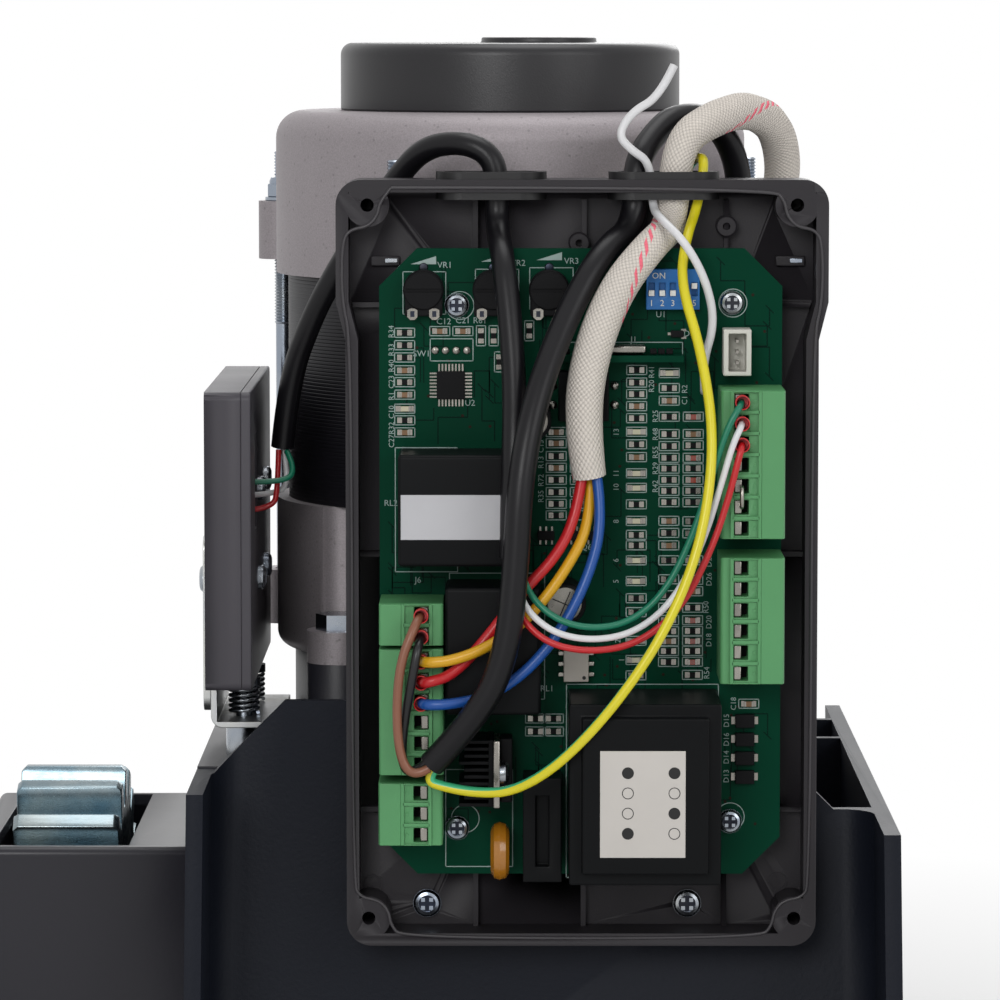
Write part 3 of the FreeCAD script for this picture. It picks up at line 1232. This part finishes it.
RED_TAIL = [(-64.6, -56.6, 196), (-64.8, -57.8, 186), (-66, -58.4, 181.9), (-71.5, -58.8, 181.4)]
WHITE_TAIL = [(-63.6, -53.8, 196), (-62.2, -54.8, 188.8), (-64.2, -55.4, 185), (-71.5, -55.9, 184.8)]
GREEN_TAIL = [(-62.6, -56.6, 195.6), (-60.4, -59.6, 191.8), (-62.4, -61.6, 188.4), (-71.5, -62.4, 188.6)]
BEND_SHARE = 0.45


def tube(points, radius):
    """A round tube along straight runs joined by tangent arcs as large as the runs allow."""
    spots = [Vector(*point) for point in points]
    edges = []
    start = spots[0]
    bends = []
    for before, corner, after in zip(spots, spots[1:], spots[2:]):
        back = (before - corner)
        ahead = (after - corner)
        reach = BEND_SHARE * min(back.Length, ahead.Length)
        back.normalize()
        ahead.normalize()
        half_turn = (math.pi - back.getAngle(ahead)) / 2
        bend = reach / math.tan(half_turn)
        inward = (back + ahead).normalize()
        centre = corner + inward * (bend / math.cos(half_turn))
        enter = corner + back * reach
        leave = corner + ahead * reach
        edges.append(Part.LineSegment(start, enter).toShape())
        edges.append(Part.Arc(enter, centre - inward * bend, leave).toShape())
        start = leave
        bends.append(round(bend, 1))
    edges.append(Part.LineSegment(start, spots[-1]).toShape())
    path = Part.Wire(edges)
    profile = Part.Wire(Part.makeCircle(radius.value, spots[0], spots[1] - spots[0]))
    solid = path.makePipeShell([profile], True, False)
    share = solid.Volume / (math.pi * radius.value ** 2 * path.Length)
    print("least bend", min(bends), "length", round(path.Length), "volume share", round(share, 4))
    return solid


def cord(name, radius, *routes):
    print(name)
    solids = [tube(points, radius) for points in routes]
    item = doc.addObject("Part::Feature", name)
    item.Shape = solids[0] if len(solids) == 1 else Part.Compound(solids)
    return node(item, name)


base_housing()
gearbox_case()
gearbox_cover()
output_shaft()
shaft_seal()
pinion()
worm_wheel()
shaft_fittings()
pinion_guard()
rotor_shaft()
rotor_core()
bearings()
stator_core()
stator_windings()
upper_bell()
lower_bell()
motor_studs()
gearbox_screws()
motor_cap()
switch_case()
switch_lid()
switch_screws()
reed_sensor()
switch_bracket()
float_screws()
float_springs()
control_tray()
cable_grommets()
tray_screws()
circuit_board()
terminal_blocks()
transformer()
relays()
fuse_holder()
varistor()
semiconductors()
capacitors()
receiver_board()
sensor_connector()
trimmer_bases()
for index in range(1, len(TRIMMER_X) + 1):
    trimmer_rotor(index)
dip_switch()
for index in range(1, DIP_WAYS + 1):
    dip_slider(index)
learn_switch()
learn_button()
cord("mains_cable", d.mains_radius, MAINS_ROUTE)
cord("limit_cable", d.limit_radius, LIMIT_ROUTE)
cord("motor_sleeve", d.sleeve_radius, SLEEVE_ROUTE)
cord("antenna_wire", d.antenna_radius, ANTENNA_ROUTE)
cord("earth_wire", d.earth_wire_radius, EARTH_ROUTE)
cord("mains_wires", d.mains_wire_radius, BROWN_ROUTE, BLACK_ROUTE)
cord("motor_wires", d.motor_wire_radius, RED_ROUTE, YELLOW_ROUTE, BLUE_ROUTE)
cord("signal_wires", d.limit_wire_radius, GREEN_SIGNAL, WHITE_SIGNAL, RED_SIGNAL)
cord("switch_tails", d.tail_radius, RED_TAIL, WHITE_TAIL, GREEN_TAIL)

doc.recompute()
failed = [item.Name for item in doc.Objects if "Invalid" in item.State or "Error" in item.State]
if failed:
    raise RuntimeError("objects failed: " + ", ".join(failed))
for item in NODES:
    if item.Shape.isNull() or not item.Shape.isValid():
        raise RuntimeError("bad shape: " + item.Label)

os.makedirs("parts", exist_ok=True)
for item in NODES:
    item.Shape.exportStep("parts/%s.step" % item.Label)
